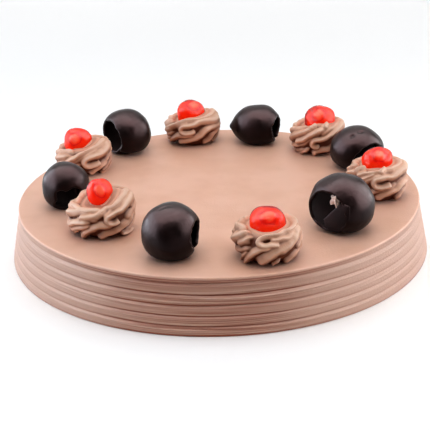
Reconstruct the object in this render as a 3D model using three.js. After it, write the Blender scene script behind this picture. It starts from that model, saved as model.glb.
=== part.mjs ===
// A chocolate cream cake: a low round cake with a combed side, and on top a ring of six piped
// rosettes, each with a glace cherry, between six hollow chocolate curls.
// Millimetres, +Z up, with the origin at the middle of the underside. The front looks along +Y.

import * as THREE from 'three';
import { ParametricGeometry } from 'three/addons/geometries/ParametricGeometry.js';
import { mergeVertices } from 'three/addons/utils/BufferGeometryUtils.js';

// Cake: the side leans in from the base to the lip, in five combed ridges
const cakeHeight = 32;
const baseRadius = 127;
const topRadius = 121.5;
const cakeSides = 64;
const ridgeCount = 5;
const ridgeHeight = 5.65;
const ridgeDepth = 1.5;
const ridgeSteps = 4;
const lipReach = 2.6;
const lipUndercut = Math.PI / 3;
const lipSteps = 5;

// Rosettes: a rope of cream wound twice round, with twisted flutes and a seat for the cherry
const fluteCount = 8;
const fluteColumns = 3;
const fluteDepth = 2.2;
const fluteTwist = THREE.MathUtils.degToRad(160);
const rollTurns = 2;
const rollDepth = 2.0;
const sideRows = 8;
const seatRows = 2;
const footShare = 0.84;
const rimShare = 0.69;
const bulgeShare = 0.9;
const bulgeLow = 0.8;
const footFade = 4;
const rimFade = 3;

// Cherries: round, with a dimple where the stone came out
const cherrySides = 12;
const cherryRows = 8;
const cherryDimple = 0.16;
const cherryDimpleAngle = THREE.MathUtils.degToRad(26);
const cherryOverRim = 0.8;

// Curls: a thin sheet of chocolate rolled up into a ball, open at its ends
const sheetThickness = 1.8;
const layerStep = 3.2;
const stepInFrom = 0.9;
const curlTightening = 1.5;
const innerTaper = 0.45;
const endPinch = 2;
const sheetColumns = 24;
const edgeRow = 0.05;
const bodyRows = 6;
const curlSink = 0.8;

// Toppings stand this far off the icing and off each other
const seatGap = 0.3;

// Places are polar, in degrees from +X, as the cake is seen from above
const rosettes = [
  { name: 'rosette_front', angle: -75, ring: 98.5, radius: 18.8, height: 18, turn: 20,
    cherry: 9.6, lean: 0 },
  { name: 'rosette_front_left', angle: -142, ring: 84.5, radius: 19.6, height: 22, turn: 75,
    cherry: 8.2, lean: -0.5 },
  { name: 'rosette_back_left', angle: 150, ring: 99.5, radius: 18.2, height: 18, turn: 140,
    cherry: 9.2, lean: -1.8 },
  { name: 'rosette_back', angle: 99, ring: 102, radius: 18.8, height: 18, turn: 230,
    cherry: 9.6, lean: 0.4 },
  { name: 'rosette_back_right', angle: 48, ring: 100.5, radius: 18.4, height: 19, turn: 305,
    cherry: 10.2, lean: 1.4 },
  { name: 'rosette_right', angle: -7, ring: 96, radius: 18.0, height: 20, turn: 350,
    cherry: 9.2, lean: 0 },
];

// facing is the way the open mouth looks and lift tips it up; mouth and tail are the latitudes
// where the ball stops, the mouth reaching out by lip at the angle lipAt; dome and belly are the
// heights above and below the axis as shares of the radius, and tip draws the tail to a point;
// start is where the outer edge of the sheet lies, from straight down towards the right as seen
// from the mouth; inward is how far its inner edge is curled in from the outside
const curls = [
  { name: 'curl_front_left', angle: -106, ring: 95, facing: -15, lift: 3,
    radius: 16.3, length: 16.3, dome: 1.0, belly: 0.95, tip: 0,
    mouth: 60, lip: 6, lipAt: 190, tail: 64, turns: 1.3, start: 20, inward: 7 },
  { name: 'curl_left', angle: -171, ring: 92, facing: -74, lift: -20,
    radius: 13.9, length: 13.9, dome: 1.02, belly: 1.02, tip: 0,
    mouth: 55, lip: 7, lipAt: 220, tail: 64, turns: 1.45, start: 36, inward: 9 },
  { name: 'curl_back_left', angle: 126.5, ring: 102, facing: 213, lift: -2,
    radius: 17.0, length: 16.6, dome: 0.95, belly: 0.78, tip: 0,
    mouth: 42, lip: 3, lipAt: 180, tail: 64, turns: 1.3, start: 42, inward: 8 },
  { name: 'curl_back_right', angle: 73.5, ring: 97, facing: -20, lift: 5,
    radius: 14.2, length: 18.8, dome: 1.03, belly: 0.8, tip: 0.5,
    mouth: 54, lip: 5, lipAt: 180, tail: 76, turns: 1.3, start: 20, inward: 7 },
  { name: 'curl_right', angle: 23.5, ring: 97, facing: -58, lift: -14,
    radius: 17.2, length: 16.8, dome: 0.85, belly: 0.72, tip: 0,
    mouth: 45, lip: 3, lipAt: 180, tail: 64, turns: 1.3, start: 36, inward: 7 },
  { name: 'curl_front_right', angle: -41.5, ring: 92, facing: 230, lift: -4,
    radius: 18.6, length: 18.0, dome: 0.95, belly: 0.8, tip: 0,
    mouth: 45, lip: 4, lipAt: 90, tail: 54, turns: 1.62, start: 30, inward: 14 },
];

const icing = { color: 0xd9b29d, roughness: 0.55, metalness: 0 };
const pipedCream = { color: 0xc9a18b, roughness: 0.6, metalness: 0 };
const glaceCherry = { color: 0xe0281c, roughness: 0.15, metalness: 0 };
const darkChocolate = { color: 0x2b1e1d, roughness: 0.35, metalness: 0 };

const radians = THREE.MathUtils.degToRad;
const { clamp, lerp, smoothstep } = THREE.MathUtils;
const fullTurn = 2 * Math.PI;
const quarterTurn = Math.PI / 2;
const cake = new THREE.Group();

// Share corner points between faces and drop the faces that close to a line at poles and edges
function closedSolid(geometry) {
  geometry.deleteAttribute('normal');
  geometry.deleteAttribute('uv');
  const merged = mergeVertices(geometry, 1e-3);
  const corners = merged.index.array;
  const kept = [];
  for (let i = 0; i < corners.length; i += 3) {
    const [a, b, c] = corners.slice(i, i + 3);
    if (a !== b && b !== c && c !== a) {
      kept.push(a, b, c);
    }
  }
  merged.setIndex(kept);
  merged.computeVertexNormals();
  return merged;
}

function addPiece(name, geometry, finish, place = new THREE.Vector3()) {
  const piece = new THREE.Mesh(geometry, new THREE.MeshStandardMaterial(finish));
  piece.name = name;
  piece.position.copy(place);
  cake.add(piece);
  return piece;
}

function onTop(angle, ring, rise = 0) {
  const turn = radians(angle);
  return new THREE.Vector3(ring * Math.cos(turn), ring * Math.sin(turn), cakeHeight + seatGap + rise);
}

// The outline runs from the middle of the underside, up the ridges and over the lip
function cakeOutline() {
  const sideHeight = ridgeCount * ridgeHeight;
  const lipHeight = cakeHeight - sideHeight;
  const outline = [new THREE.Vector2(0, 0)];
  for (let step = 0; step <= ridgeCount * ridgeSteps; step += 1) {
    const z = (step / ridgeSteps) * ridgeHeight;
    const valley = 1 - Math.abs(Math.sin((Math.PI * step) / ridgeSteps));
    const side = lerp(baseRadius, topRadius, z / sideHeight);
    outline.push(new THREE.Vector2(side - ridgeDepth * valley, z));
  }
  for (let step = 1; step <= lipSteps; step += 1) {
    const bend = lerp(-lipUndercut, quarterTurn, step / lipSteps);
    const rise = (Math.sin(bend) + Math.sin(lipUndercut)) / (1 + Math.sin(lipUndercut));
    const reach = topRadius - lipReach + lipReach * Math.cos(bend);
    outline.push(new THREE.Vector2(reach, sideHeight + lipHeight * rise));
  }
  outline.push(new THREE.Vector2(0, cakeHeight));
  return outline;
}

function cakeGeometry() {
  const geometry = new THREE.LatheGeometry(cakeOutline(), cakeSides);
  geometry.rotateX(quarterTurn);
  return closedSolid(geometry);
}

// A ring-shaped roll of cream: two bulges wind up its side, and flutes twist across them
function rosetteGeometry({ radius, height, cherry }) {
  const foot = radius * footShare;
  const rim = radius * rimShare;
  const seatFloor = height + cherryOverRim - cherry - seatGap;
  const rows = 1 + sideRows + seatRows + 1;
  const point = (u, v, target) => {
    const row = Math.round(v * rows);
    const climb = clamp((row - 1) / sideRows, 0, 1);
    const angle = u * fullTurn + fluteTwist * climb;
    let reach = 0;
    let z = 0;
    if (row >= 1 && row <= sideRows + 1) {
      const bulge = (radius - foot + fluteDepth) * bulgeShare * Math.sin(Math.PI * climb ** bulgeLow);
      const roll = Math.abs(Math.sin(Math.PI * (rollTurns * climb - angle / fullTurn)));
      const flute = Math.abs(Math.sin(Math.PI * fluteCount * u));
      const relief = rollDepth * (roll - 1) + fluteDepth * (flute - 1);
      const fade = Math.min(1, footFade * climb, rimFade * (1 - climb));
      reach = lerp(foot, rim, climb ** 2) + bulge + relief * fade;
      z = height * Math.sin(quarterTurn * climb);
    } else if (row > sideRows + 1) {
      const dip = (row - sideRows - 1) / (seatRows + 1);
      reach = rim * Math.sqrt(1 - dip);
      z = lerp(height, seatFloor, Math.sin(quarterTurn * dip));
    }
    target.set(reach * Math.cos(angle), reach * Math.sin(angle), z);
  };
  return closedSolid(new ParametricGeometry(point, fluteCount * fluteColumns, rows));
}

function cherryGeometry(size) {
  const outline = [];
  for (let row = 0; row <= cherryRows; row += 1) {
    const bend = lerp(-quarterTurn, quarterTurn, row / cherryRows);
    const fromTop = (quarterTurn - bend) / cherryDimpleAngle;
    const reach = size * (1 - cherryDimple * Math.exp(-fromTop * fromTop));
    const across = row === 0 || row === cherryRows ? 0 : reach * Math.cos(bend);
    outline.push(new THREE.Vector2(across, reach * Math.sin(bend)));
  }
  const geometry = new THREE.LatheGeometry(outline, cherrySides);
  geometry.rotateX(quarterTurn);
  return closedSolid(geometry);
}

// Lower a topping onto a flat spot, pressed in by a little
function flattenFoot(geometry, sink) {
  geometry.computeBoundingBox();
  geometry.translate(0, 0, -geometry.boundingBox.min.z - sink);
  const points = geometry.attributes.position;
  for (let i = 0; i < points.count; i += 1) {
    points.setZ(i, Math.max(points.getZ(i), 0));
  }
  return geometry;
}

// The sheet is wound round the X axis for one turn, steps in under its own outer edge and
// curls on inside. Going round u passes along its outer face and back along its inner face, and
// v runs from the tail end to the mouth, thin at both edges.
function curlGeometry(curl) {
  const { radius, length, dome, belly, tip, lift, mouth, lip, lipAt, tail } = curl;
  const { turns, start, inward } = curl;
  const columns = 2 * sheetColumns + 2;
  const rows = bodyRows + 1;
  const lifted = new THREE.Matrix4().makeRotationY(-radians(lift));
  const point = (u, v, target) => {
    const column = Math.round(u * columns) % columns;
    const outer = column <= sheetColumns;
    const along = outer ? column / sheetColumns : (columns - 1 - column) / sheetColumns;
    const wound = along * turns;
    const turn = radians(start) + wound * fullTurn;
    const inside = Math.max(0, wound - 1) / (turns - 1);
    const stepIn = layerStep * smoothstep(wound, stepInFrom, 1);
    const depth = stepIn + (inward - layerStep) * inside ** curlTightening;

    const row = Math.round(v * rows);
    const atEdge = row === 0 || row === rows;
    const body = lerp(edgeRow, 1 - edgeRow, (row - 1) / (bodyRows - 1));
    const across = atEdge ? row / rows : body;
    const mouthEdge = mouth + lip * Math.cos(turn - radians(lipAt));
    const latitude = radians((1 - innerTaper * inside) * lerp(-tail, mouthEdge, across));

    const pinch = Math.min(1, endPinch * Math.cos(latitude));
    const middle = depth + sheetThickness / 2;
    const face = atEdge ? 0 : sheetThickness / 2;
    const below = pinch * (outer ? middle - face : middle + face);
    const narrowed = 1 - tip * Math.min(0, Math.sin(latitude)) ** 2;
    const reach = (radius * Math.cos(latitude) - below) * narrowed;
    const axial = length * Math.sin(latitude) * (1 - below / radius);
    target.set(axial, reach * Math.sin(turn), -reach * Math.cos(turn));
    target.applyMatrix4(lifted);
    target.z *= target.z > 0 ? dome : belly;
  };
  return flattenFoot(closedSolid(new ParametricGeometry(point, columns, rows)), curlSink);
}

addPiece('cake', cakeGeometry(), icing);

for (const rosette of rosettes) {
  const { name, angle, ring, height, turn, cherry, lean } = rosette;
  const swirl = addPiece(name, rosetteGeometry(rosette), pipedCream, onTop(angle, ring));
  swirl.rotation.z = radians(turn);
  const cherryPlace = onTop(angle, ring, height + cherryOverRim);
  cherryPlace.x += lean;
  const fruitName = name.replace('rosette', 'cherry');
  const fruit = addPiece(fruitName, cherryGeometry(cherry), glaceCherry, cherryPlace);
  fruit.rotation.z = radians(turn);
}

for (const curl of curls) {
  const piece = addPiece(curl.name, curlGeometry(curl), darkChocolate, onTop(curl.angle, curl.ring));
  piece.rotation.z = radians(curl.facing);
}

export default cake;
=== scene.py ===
import math

import bmesh
import bpy
import numpy as np
from mathutils import Matrix, Vector


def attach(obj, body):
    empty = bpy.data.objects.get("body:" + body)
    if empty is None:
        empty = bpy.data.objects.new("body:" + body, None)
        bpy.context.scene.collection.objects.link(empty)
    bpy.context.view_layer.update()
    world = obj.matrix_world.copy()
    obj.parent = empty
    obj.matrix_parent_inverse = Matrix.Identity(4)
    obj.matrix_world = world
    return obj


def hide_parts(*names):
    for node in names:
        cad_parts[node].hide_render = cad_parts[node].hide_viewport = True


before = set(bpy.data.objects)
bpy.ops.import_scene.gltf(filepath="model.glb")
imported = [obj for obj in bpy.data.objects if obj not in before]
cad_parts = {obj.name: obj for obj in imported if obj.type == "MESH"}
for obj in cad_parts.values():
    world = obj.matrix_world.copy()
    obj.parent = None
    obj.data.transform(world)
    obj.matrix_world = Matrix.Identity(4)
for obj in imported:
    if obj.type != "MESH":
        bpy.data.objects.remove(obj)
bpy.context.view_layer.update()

# The looks of a chocolate cream cake with rosettes, cherries and curls; sizes are in millimetres
mm = 0.001
fullTurn = 2 * math.pi
print("frame loaded with", len(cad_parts), "nodes")


# Shape helpers

# Ease from 0 to 1 between two limits: 3t^2 - 2t^3
def ease(value, low, high):
    t = np.clip((value - low) / (high - low), 0, 1)
    return t * t * (3 - 2 * t)


# Rise from 0 to 1 as a quarter circle does, for rounded ends and edges
def roundOff(share):
    return np.sqrt(1 - (1 - np.clip(share, 0, 1)) ** 2)


# Fall to nothing at both ends of 0 to 1, each over the given width, as a quarter circle does
def roundedEdges(share, width):
    return roundOff(np.minimum(share, 1 - share) / width)


# Go from a first value to a second by a share
def between(first, second, share):
    return first + (second - first) * share


# A bell round a middle: exp(-square) of the way from it, in widths
def bell(value, middle, width):
    return np.exp(-((value - middle) / width) ** 2)


# A closed wave round an angle: the mean of sines with seeded phases
def ripple(angle, waves, seed):
    phases = np.random.default_rng(seed).uniform(0, fullTurn, len(waves))
    return sum(np.sin(wave * angle + phase) for wave, phase in zip(waves, phases)) / len(waves)


# Points from three coordinates whose shapes match or spread over each other
def asPoints(x, y, z):
    return np.stack(np.broadcast_arrays(x, y, z), axis=-1)


# Directions over a ball: a grid of latitudes from pole to pole and of longitudes
def ballHeadings(rows, columns):
    bend = np.linspace(-math.pi / 2, math.pi / 2, rows)[:, None]
    angle = np.linspace(0, fullTurn, columns, endpoint=False)[None, :]
    return asPoints(np.cos(bend) * np.cos(angle), np.cos(bend) * np.sin(angle), np.sin(bend))


# Columns that go over one face of a sheet and back over the other: shares across, and 1 or 0 by face
def bothFaces(count):
    share = np.linspace(0, 1, count)
    return np.concatenate([share, share[::-1]]), np.repeat([1.0, 0.0], count)


# Scale directions to length 1
def unit(vectors):
    return vectors / np.linalg.norm(vectors, axis=-1, keepdims=True)


# Smooth noise at points: the sum of sine waves that run in seeded directions
def softNoise(points, waveLength, seed, count=20, spread=(0.6, 1.5)):
    draw = np.random.default_rng(seed)
    heading = unit(draw.normal(size=(count, 3)))
    heading = heading * (fullTurn / waveLength * draw.uniform(*spread, (count, 1)))
    phases = draw.uniform(0, fullTurn, count)
    return np.sin(points @ heading.T + phases).sum(-1) / math.sqrt(count)


# A grid of points (rows, columns, 3) whose columns close on themselves becomes quads that face out:
# the sign of the enclosed volume tells which way they face
def gridQuads(grid):
    rows, columns = grid.shape[:2]
    index = np.arange(rows * columns).reshape(rows, columns)
    index = np.concatenate([index, index[:, :1]], axis=1)
    quads = np.stack([index[:-1, :-1], index[:-1, 1:], index[1:, 1:], index[1:, :-1]], axis=-1)
    quads = quads.reshape(-1, 4)
    corner = (grid - grid.mean((0, 1))).reshape(-1, 3)[quads]
    volume = np.einsum("ij,ij->", corner[:, 0], np.cross(corner[:, 1], corner[:, 2]))
    volume += np.einsum("ij,ij->", corner[:, 0], np.cross(corner[:, 2], corner[:, 3]))
    return quads if volume > 0 else quads[:, ::-1]


# Give a mesh a named value for each point, which the finishes read
def addMark(mesh, name, values):
    layer = mesh.attributes.new(name, "FLOAT", "POINT")
    layer.data.foreach_set("value", values.astype(np.float32))


# Put one or more grids into one mesh, with their marks, and with coinciding points merged so that poles
# and edges close
def meshFromGrids(name, grids, marks=None):
    points = np.concatenate([grid.reshape(-1, 3) for grid in grids])
    starts = np.cumsum([0] + [grid.shape[0] * grid.shape[1] for grid in grids])
    quads = np.concatenate([gridQuads(grid) + start for grid, start in zip(grids, starts)])
    mesh = bpy.data.meshes.new(name)
    mesh.vertices.add(len(points))
    mesh.vertices.foreach_set("co", (points * mm).astype(np.float32).ravel())
    mesh.loops.add(quads.size)
    mesh.loops.foreach_set("vertex_index", quads.astype(np.int32).ravel())
    mesh.polygons.add(len(quads))
    mesh.polygons.foreach_set("loop_start", np.arange(0, quads.size, 4, dtype=np.int32))
    mesh.update(calc_edges=True)
    for markName, values in (marks or {}).items():
        addMark(mesh, markName, np.concatenate([each.ravel() for each in values]))
    work = bmesh.new()
    work.from_mesh(mesh)
    bmesh.ops.remove_doubles(work, verts=work.verts, dist=1e-6)
    bmesh.ops.dissolve_degenerate(work, dist=1e-7, edges=work.edges)
    work.to_mesh(mesh)
    work.free()
    mesh.shade_smooth()
    return mesh


# Show a finished mesh in place of a CAD node, on the one body, with its finish
def dress(mesh, node, material):
    piece = bpy.data.objects.new(mesh.name, mesh)
    bpy.context.scene.collection.objects.link(piece)
    mesh.materials.clear()
    mesh.materials.append(material)
    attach(piece, "root")
    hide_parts(node)
    return piece


# Material helpers

def addNode(tree, kind, inputs=None, **settings):
    node = tree.nodes.new(kind)
    for key, value in settings.items():
        setattr(node, key, value)
    for key, value in (inputs or {}).items():
        node.inputs[key].default_value = value
    return node


def newMaterial(name, inputs):
    material = bpy.data.materials.new(name)
    material.use_nodes = True
    tree = material.node_tree
    tree.nodes.clear()
    shader = addNode(tree, "ShaderNodeBsdfPrincipled", inputs)
    output = addNode(tree, "ShaderNodeOutputMaterial")
    tree.links.new(shader.outputs["BSDF"], output.inputs["Surface"])
    return material, tree, shader


# A value that the mesh carries for each point
def mark(tree, name):
    return addNode(tree, "ShaderNodeAttribute", attribute_name=name).outputs["Fac"]


# sRGB numbers from 0 to 255 as a linear colour
def tone(red, green, blue):
    share = np.array([red, green, blue]) / 255
    linear = np.where(share > 0.04045, ((share + 0.055) / 1.055) ** 2.4, share / 12.92)
    return (*linear.tolist(), 1.0)


# Shared group: a soft mask of patches, from noise on the piece's own millimetres
def makeMottle():
    group = bpy.data.node_groups.new("mottle", "ShaderNodeTree")
    for name in ("Patch Size", "Detail", "Low", "High"):
        group.interface.new_socket(name, in_out="INPUT", socket_type="NodeSocketFloat")
    group.interface.new_socket("Mask", in_out="OUTPUT", socket_type="NodeSocketFloat")
    given = addNode(group, "NodeGroupInput").outputs
    made = addNode(group, "NodeGroupOutput").inputs
    place = addNode(group, "ShaderNodeTexCoord").outputs
    pace = addNode(group, "ShaderNodeMath", {0: 1 / mm}, operation="DIVIDE")
    noise = addNode(group, "ShaderNodeTexNoise", {"Roughness": 0.55})
    spread = addNode(group, "ShaderNodeMapRange", interpolation_type="SMOOTHSTEP")
    for output, socket in ((given["Patch Size"], pace.inputs[1]),
                           (place["Object"], noise.inputs["Vector"]),
                           (pace.outputs["Value"], noise.inputs["Scale"]),
                           (given["Detail"], noise.inputs["Detail"]),
                           (noise.outputs["Fac"], spread.inputs["Value"]),
                           (given["Low"], spread.inputs["From Min"]),
                           (given["High"], spread.inputs["From Max"]),
                           (spread.outputs["Result"], made["Mask"])):
        group.links.new(output, socket)
    return group


mottleGroup = makeMottle()


# Patches of a size in mm, with the noise's detail and the limits that the mask rises between
def mottle(tree, size, detail=3.0, low=0.35, high=0.65):
    inputs = {"Patch Size": size, "Detail": detail, "Low": low, "High": high}
    return addNode(tree, "ShaderNodeGroup", inputs, node_tree=mottleGroup).outputs["Mask"]


def mixColour(tree, mask, first, second):
    mix = addNode(tree, "ShaderNodeMix", data_type="RGBA")
    tree.links.new(mask, mix.inputs["Factor"])
    for key, value in (("A", first), ("B", second)):
        socket = [entry for entry in mix.inputs if entry.name == key and entry.type == "RGBA"][0]
        if isinstance(value, tuple):
            socket.default_value = value
        else:
            tree.links.new(value, socket)
    return [entry for entry in mix.outputs if entry.type == "RGBA"][0]


def mapTo(tree, value, fromLow, fromHigh, toLow=0.0, toHigh=1.0):
    spread = addNode(tree, "ShaderNodeMapRange", {"From Min": fromLow, "From Max": fromHigh,
                                                  "To Min": toLow, "To Max": toHigh})
    tree.links.new(value, spread.inputs["Value"])
    return spread.outputs["Result"]


def bump(tree, height, shader, depth):
    node = addNode(tree, "ShaderNodeBump", {"Strength": 1.0, "Distance": depth * mm})
    tree.links.new(height, node.inputs["Height"])
    tree.links.new(node.outputs["Normal"], shader.inputs["Normal"])


# Finishes

icingFinish = {
    "pale": tone(231, 187, 165),
    "deep": tone(224, 178, 154),
    # the side's tone is darker and browner than the top's: painted shade of the side all round
    "side": tone(204, 166, 147),
    # painted shade: the dark tone in the comb's grooves and streaks, strongest in front
    "grooveShade": tone(148, 70, 40),
    "grooveShadeShare": 0.85,
    "sideTop": (30.6, 31.7),    # heights where the side's tone, darker as painted shade, gives way to the top's
    "patch": 34.0,
    "pore": (0.9, 2.0, 0.3, 0.7),
    "poreDepth": 0.05,
    "shader": {"Roughness": 0.5, "Specular IOR Level": 0.18, "Subsurface Weight": 0.12,
               "Subsurface Radius": (1.0, 0.45, 0.25), "Subsurface Scale": 2.5 * mm},
}


def makeIcing():
    finish = icingFinish
    material, tree, shader = newMaterial("chocolateCreamIcing", finish["shader"])
    top = mixColour(tree, mottle(tree, finish["patch"]), finish["pale"], finish["deep"])
    axes = addNode(tree, "ShaderNodeSeparateXYZ")
    tree.links.new(addNode(tree, "ShaderNodeTexCoord").outputs["Object"], axes.inputs["Vector"])
    low, high = finish["sideTop"]
    onTop = mapTo(tree, axes.outputs["Z"], low * mm, high * mm)
    # painted shade in the grooves and streaks of the side and under the lip
    depth = mapTo(tree, mark(tree, "grooveShade"), 0, 1, 0, finish["grooveShadeShare"])
    side = mixColour(tree, depth, finish["side"], finish["grooveShade"])
    tree.links.new(mixColour(tree, onTop, side, top), shader.inputs["Base Color"])
    bump(tree, mottle(tree, *finish["pore"]), shader, finish["poreDepth"])
    return material


pipedFinish = {
    # painted light: crests lighter and hollows darker by each point's relief, its facing up and its height
    "crestHighlight": tone(226, 189, 165),
    "face": tone(208, 160, 133),
    "hollow": tone(98, 48, 24),
    "deepTo": (-2.0, 0.35),      # shade value in mm, from the painted hollow shade to face
    "crestFrom": (0.5, 2.0),     # and from face to the painted crest highlight
    "grain": (0.8, 2.0, 0.3, 0.7),
    "grainDepth": 0.05,
    "shader": {"Roughness": 0.5, "Specular IOR Level": 0.14, "Subsurface Weight": 0.12,
               "Subsurface Radius": (1.0, 0.45, 0.25), "Subsurface Scale": 1.5 * mm},
}


def makePiped():
    finish = pipedFinish
    material, tree, shader = newMaterial("pipedChocolateCream", finish["shader"])
    shadeByRelief = mark(tree, "shadeByRelief")
    # painted shade in the hollows and painted highlight on the crests
    low = mixColour(tree, mapTo(tree, shadeByRelief, *finish["deepTo"]), finish["hollow"], finish["face"])
    colour = mixColour(tree, mapTo(tree, shadeByRelief, *finish["crestFrom"]), low, finish["crestHighlight"])
    tree.links.new(colour, shader.inputs["Base Color"])
    bump(tree, mottle(tree, *finish["grain"]), shader, finish["grainDepth"])
    return material


cherryFinish = {
    "red": tone(253, 56, 14),
    "deep": tone(250, 34, 8),
    # painted highlight: a paler disc inside the dimple's groove
    "discHighlight": tone(255, 160, 128),
    "discHighlightShare": 0.65,
    # painted shade: darker in the dimple's groove and in the folds' valleys
    "ring": tone(200, 18, 18),
    "ringShadeShare": 0.65,
    "outlineShade": tone(168, 8, 20),                # painted shade in a band round the fruit's outline seen from the front
    "inner": (1.0, 0.045, 0.006, 1.0),       # painted glow: emission that stands in for light through the fruit, less under the rings and the outline shade
    "paintedGlowRing": (0.55, 0.01, 0.006, 1.0),
    "paintedGlowOutline": (0.16, 0.002, 0.001, 1.0),
    "patch": (7.0, 2.0),
    "rough": (0.12, 0.22),
    "roughPatch": (4.0, 2.0),
    "pit": (2.6, 2.0, 0.25, 0.75),
    "pitDepth": 0.12,
    # the emission is a painted glow, standing in for light through the fruit
    "shader": {"Specular IOR Level": 0.11, "Emission Strength": 0.3, "Coat Weight": 0.065,
               "Coat Roughness": 0.08, "Subsurface Weight": 1.0, "Subsurface Radius": (1.0, 0.18, 0.08),
               "Subsurface Scale": 10.0 * mm},
}


def makeCherry():
    finish = cherryFinish
    material, tree, shader = newMaterial("glaceCherryGloss", finish["shader"])
    ring = mark(tree, "ring")
    outlineShade = mark(tree, "outlineShade")
    discHighlightMask = mapTo(tree, mark(tree, "discHighlight"), 0, 1, 0, finish["discHighlightShare"])
    ringMask = mapTo(tree, ring, 0, 1, 0, finish["ringShadeShare"])
    body = mixColour(tree, mottle(tree, *finish["patch"]), finish["red"], finish["deep"])
    body = mixColour(tree, discHighlightMask, body, finish["discHighlight"])
    body = mixColour(tree, ringMask, body, finish["ring"])
    tree.links.new(mixColour(tree, outlineShade, body, finish["outlineShade"]), shader.inputs["Base Color"])
    # painted glow: emission, weaker under the rings and the outline shade
    inner = mixColour(tree, ring, finish["inner"], finish["paintedGlowRing"])
    inner = mixColour(tree, outlineShade, inner, finish["paintedGlowOutline"])
    tree.links.new(inner, shader.inputs["Emission Color"])
    rough = mapTo(tree, mottle(tree, *finish["roughPatch"]), 0, 1, *finish["rough"])
    tree.links.new(rough, shader.inputs["Roughness"])
    bump(tree, mottle(tree, *finish["pit"]), shader, finish["pitDepth"])
    return material


chocolateFinish = {
    "dark": tone(13, 4, 3),
    "bloom": tone(27, 11, 10),
    "cream": tone(252, 232, 220),     # the dab in one mouth
    "smear": (9.0, 4.0, 0.35, 0.7),
    "rough": (0.31, 0.43),
    "roughPatch": (6.0, 3.0),
    "innerRough": 0.85,
    "scratch": (5.0, 4.0, 0.2, 0.8),
    "scratchDepth": 0.12,
    "shader": {"Specular IOR Level": 0.2, "Specular Tint": (1.0, 0.68, 0.7, 1.0)},
}


def makeChocolate():
    finish = chocolateFinish
    material, tree, shader = newMaterial("satinDarkChocolate", finish["shader"])
    bare = mixColour(tree, mottle(tree, *finish["smear"]), finish["dark"], finish["bloom"])
    colour = mixColour(tree, mark(tree, "dab"), bare, finish["cream"])
    tree.links.new(colour, shader.inputs["Base Color"])
    rough = mapTo(tree, mottle(tree, *finish["roughPatch"]), 0, 1, *finish["rough"])
    dull = addNode(tree, "ShaderNodeMix", {"B": finish["innerRough"]}, data_type="FLOAT")
    tree.links.new(mark(tree, "inner"), dull.inputs["Factor"])
    tree.links.new(rough, dull.inputs["A"])
    tree.links.new(dull.outputs["Result"], shader.inputs["Roughness"])
    bump(tree, mottle(tree, *finish["scratch"]), shader, finish["scratchDepth"])
    return material


icing = makeIcing()
piped = makePiped()
cherryGloss = makeCherry()
chocolate = makeChocolate()
print("finishes made")


# Cake

cakeBody = {
    "height": 32.0,
    "baseRadius": 127.0,
    "topRadius": 121.5,
    "valleys": (0.3, 5.4, 10.7, 16.4, 22.2, 28.3),    # heights of the comb's grooves
    "ridgeDepth": 1.35,
    "ledgeFrom": (0.56, 0.76),  # share of a ridge, from its foot, where its lit ledge begins
    "grooveWander": 0.22,
    "grooveWaves": (2, 3, 5, 9, 14),
    "footStep": (0.4, 0.12),    # share of a ridge that stands out at once at its foot, and over what share
    "undercut": 0.2,
    "edgeRound": 0.9,           # radius of the top edge
    "lipUneven": 0.25,
    "lipWaves": (2, 5, 7, 11, 17),
    "lipLean": 0.6,             # power by which it leans out under the edge
    "depthWander": 0.2,
    "depthWaves": (1, 3, 4, 7),
    "ridgeShift": 0.8,          # angle between the wander of one ridge and of the next
    "streakDepth": (0.08, 0.26),    # all round, and more in front
    "streakScale": (5, 4.2, 4.0),   # stretch round the cake and upwards, and a wave's length
    "patchScale": (3, 0.4, 2.2),    # the same for the patches that have streaks
    "grooveShadeLines": ((0.03, 0.07), (1, 0.05)),    # middle and width of the painted shade lines, up a ridge
    "lipShadeLines": ((0.2, 0.12), (0.6, 0.14)),      # and of the painted shade lines up the lip
    "lipShade": 0.12,                # share of the lip's painted shade lines that stays away from the front
    "grooveLineShade": (0.2, 0.4, 0.4),  # painted shade of the grooves' lines: all round, in front and in its middle
    "streakShade": (0.2, 0.3, 0.9),  # painted shade in the front middle: a fixed part, more up a ridge, and in the streaks' hollows
    "streakLimits": (-0.2, 0.7),
    "pressedAt": -95,           # angle where the comb pressed most, and where the painted shade is strongest
    "pressedElsewhere": 0.2,    # its share of depth on the far side
    "frontWithin": (0.66, 0.985),    # cosines from that angle where the front and its middle fade in; the middle sets only painted shade
    "middleWithin": (0.86, 0.993),
    "topUneven": 0.16,
    "topWaves": ((1, 70.0, 16), (0.35, 22.0, 17)),    # share, length and seed
    "topFlat": (0.1, 0.05),     # shares of the way in that stay flat, at the edge and in the middle
    "footRings": (0.0, 0.6, 0.97),
    "columns": 560,
    "sideRows": 104,
    "lipRows": (14, 8),
    "topRows": 34,
}


# Rise from 0 to 1 towards the angle where the comb pressed most, by the cosine of the angle from it
def pressed(angle, within):
    return ease(np.cos(angle - math.radians(cakeBody["pressedAt"])), *within)


# Noise on a drum round the upright axis, stretched round it and upwards
def drumNoise(angle, height, scale, seed):
    around, upward, waveLength = scale
    drum = asPoints(around * np.sin(angle), around * np.cos(angle), upward * height)
    return softNoise(drum, waveLength, seed)
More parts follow.
